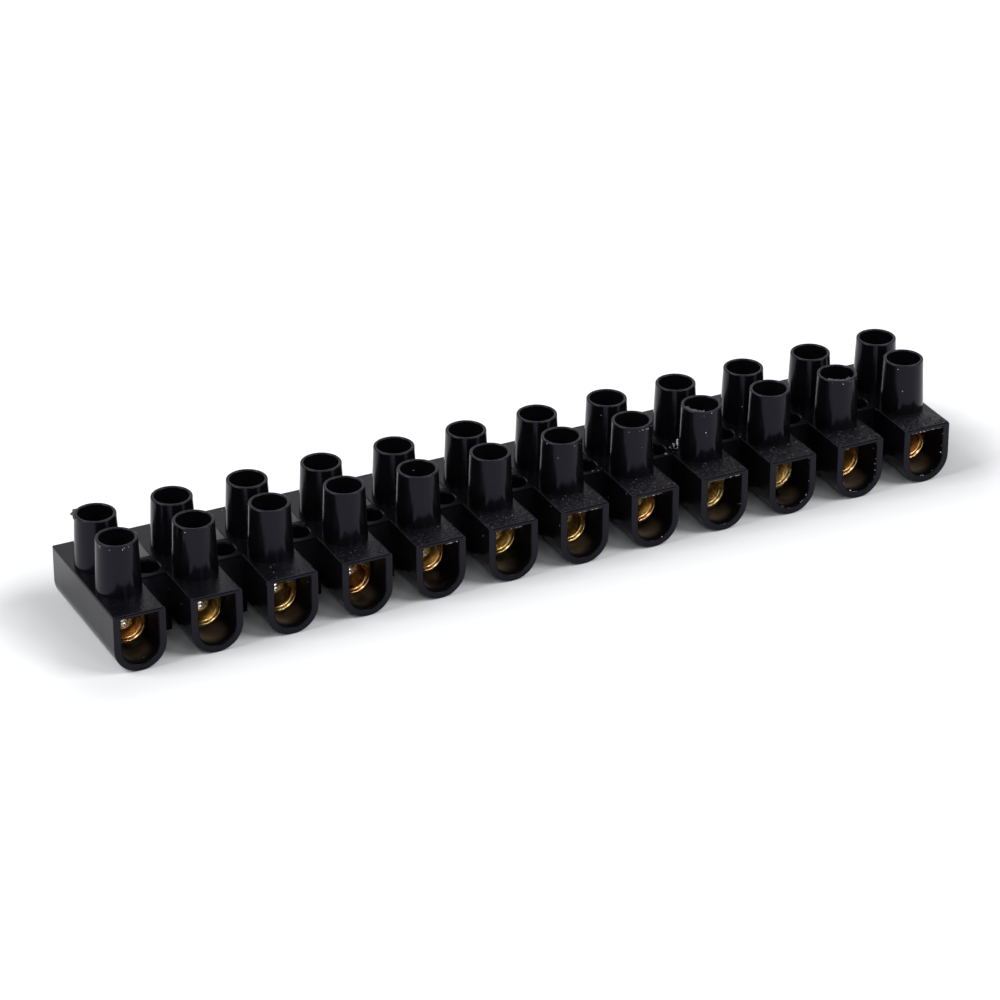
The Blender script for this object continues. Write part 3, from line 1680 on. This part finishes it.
@dataclass
class Studio:
    """White floor and surroundings, softboxes overhead and in front, and the camera.

    The floor's glow rises with the distance from the strip. Its size and the camera's clipping are metres.
    """

    eye: Triple = (-210.1, -420.5, 255.8)
    turn: Triple = (61.96, 0.0, -26.34)
    lens: float = 151.16
    sensor: float = 36.0
    clip: Pair = (0.01, 20.0)
    floor_size: float = 8.0
    floor_z: float = -0.02
    floor_colour: Colour = (0.90, 0.90, 0.90, 1)
    floor_glow: Pair = (0.0, 0.34)
    glow_from: Pair = (0.0, 16.0)
    strip_half: Pair = (58.4, 10.1)
    sky_colour: Colour = (1, 1, 1, 1)
    sky_diffuse: float = 0.10
    sky_seen: float = 0.86
    lamps: tuple[Softbox, ...] = (
        Softbox("left", (-560.0, 60.0, 570.0), 420.0, 7.6, (0.97, 0.98, 1.0)),
        Softbox("right", (424.0, -384.0, 560.0), 420.0, 6.2, (0.97, 0.98, 1.0)),
        Softbox("front", (100.0, -706.0, 463.0), 140.0, 7.0),
        Softbox("low_front", (50.0, -748.0, 274.0), 120.0, 9.0),
        Softbox("front_left", (-365.0, -560.0, 520.0), 240.0, 2.9, (0.93, 0.96, 1.0)),
    )

    def seen(self, sheet: Sheet) -> Wire:
        """Tells what is looked at from what only lights the strip.

        Args:
            sheet: Where the nodes go.

        Returns:
            1 for rays from the camera, a mirror or glass, else 0.
        """
        path = sheet.node("ShaderNodeLightPath", output="Is Camera Ray")
        either = path.maths("MAXIMUM", path, path.out("Is Glossy Ray"))
        return path.maths("MAXIMUM", either, path.out("Is Transmission Ray"))

    def camera(self) -> None:
        """Places the camera where the photograph was taken from."""
        data = bpy.data.cameras.new("camera")
        data.lens, data.sensor_width = self.lens, self.sensor
        data.clip_start, data.clip_end = self.clip
        camera = bpy.data.objects.new("camera", data)
        camera.location = Vector(self.eye) * MM
        camera.rotation_euler = [math.radians(a) for a in self.turn]
        bpy.context.scene.collection.objects.link(camera)
        bpy.context.scene.camera = camera

    def floor(self) -> None:
        """Lays a wide white floor that keeps the strip's shadow."""
        Bench.clear()
        bpy.ops.mesh.primitive_plane_add(size=self.floor_size, location=(0, 0, self.floor_z * MM))
        plane = Bench.settle(bpy.context.object, "floor")
        material, sheet = new_sheet("white_floor")
        matt = sheet.node("ShaderNodeBsdfDiffuse", {}, {"Color": self.floor_colour})
        x, y, _ = sheet.axes(sheet.place())
        beyond = [x.maths("MAXIMUM", abs(axis) - half, 0.0) for axis, half in zip((x, y), self.strip_half)]
        away = x.maths("SQRT", beyond[0] * beyond[0] + beyond[1] * beyond[1])
        low, high = self.floor_glow
        level = low + (high - low) * away.ramp(*self.glow_from)
        glow = sheet.node("ShaderNodeEmission", {}, {"Strength": self.seen(sheet) * level})
        sheet.surface(sheet.node("ShaderNodeAddShader", {}, {0: matt, 1: glow}))
        Bench.paint(plane, material)

    def sky(self) -> None:
        """Surrounds the strip with white."""
        world = bpy.data.worlds.new("surroundings")
        world.use_nodes = True
        sheet = Sheet(world.node_tree)
        level = self.sky_diffuse + (self.sky_seen - self.sky_diffuse) * self.seen(sheet)
        light = sheet.node("ShaderNodeBackground", {}, {"Color": self.sky_colour, "Strength": level})
        sheet.surface(light, "ShaderNodeOutputWorld")
        bpy.context.scene.world = world

    def build(self) -> None:
        """Sets up camera, floor, surroundings, lamps and plain colour handling."""
        self.camera()
        self.floor()
        self.sky()
        for lamp in self.lamps:
            lamp.build()
        bpy.context.scene.view_settings.view_transform = "Standard"


def main() -> None:
    """Builds every piece in order and reports it."""
    logging.basicConfig(level=logging.INFO, format="%(name)s: %(message)s")
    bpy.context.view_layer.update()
    Studio().build()
    housing, flash, insert, screw = Housing(), MouldFlash(), WireInsert(), ClampScrew()
    shell = housing.build()
    housing.dress(shell)
    scraps = flash.build(housing)
    flash.dress(scraps)
    inserts = insert.dress(insert.build(), housing)
    screws = screw.dress(screw.build(), housing)
    for piece in (shell, *scraps, *inserts, *screws):
        log.info("%s: %d faces", piece.name, len(piece.data.polygons))


if __name__ == "__main__":
    main()
